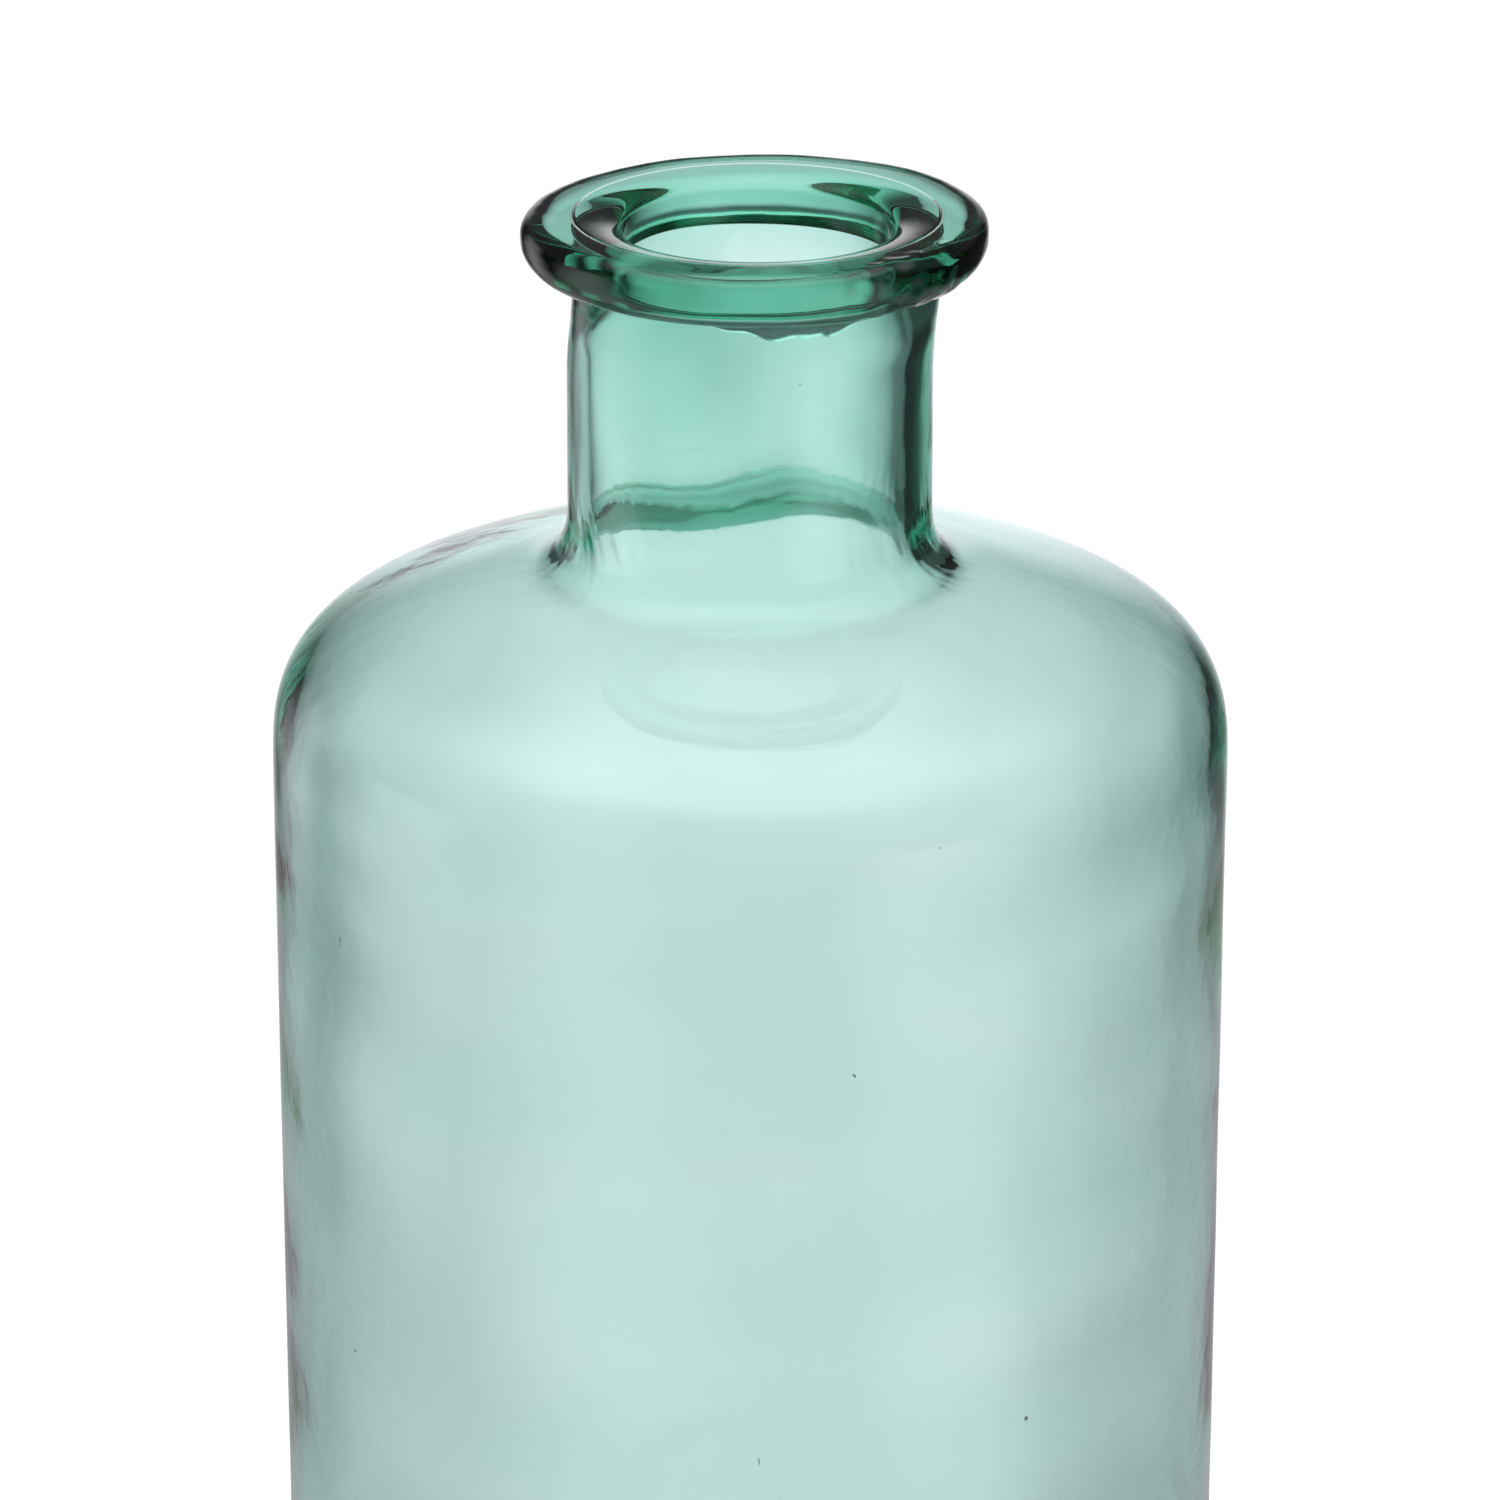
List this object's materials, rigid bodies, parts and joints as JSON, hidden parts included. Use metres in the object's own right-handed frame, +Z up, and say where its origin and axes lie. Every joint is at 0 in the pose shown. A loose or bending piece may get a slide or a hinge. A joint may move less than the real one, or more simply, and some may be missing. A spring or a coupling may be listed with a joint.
{
  "type": "glass storage bottle",
  "caption": "Wide round blown-glass storage bottle with a broad shoulder, a short thick neck and a heavy flat ring lip, open at the mouth.",
  "frame": {"origin": "centre of the ring that the bottle stands on, in the plane of that ring", "axes": "+Z up along the bottle's axis, out of the mouth; +X and +Y are alike, because the bottle is round"},
  "size_m": [0.18, 0.18, 0.36],
  "materials": {
    "bottle_glass": "clear blue-green blown glass, glossy, with faint mould and blowing marks",
    "lip_glass": "the same glass, thicker and so a deeper green, fire polished"
  },
  "bodies": {
    "root": {"bottle_body": "bottle_glass", "applied_lip": "lip_glass"}
  },
  "joints": []
}
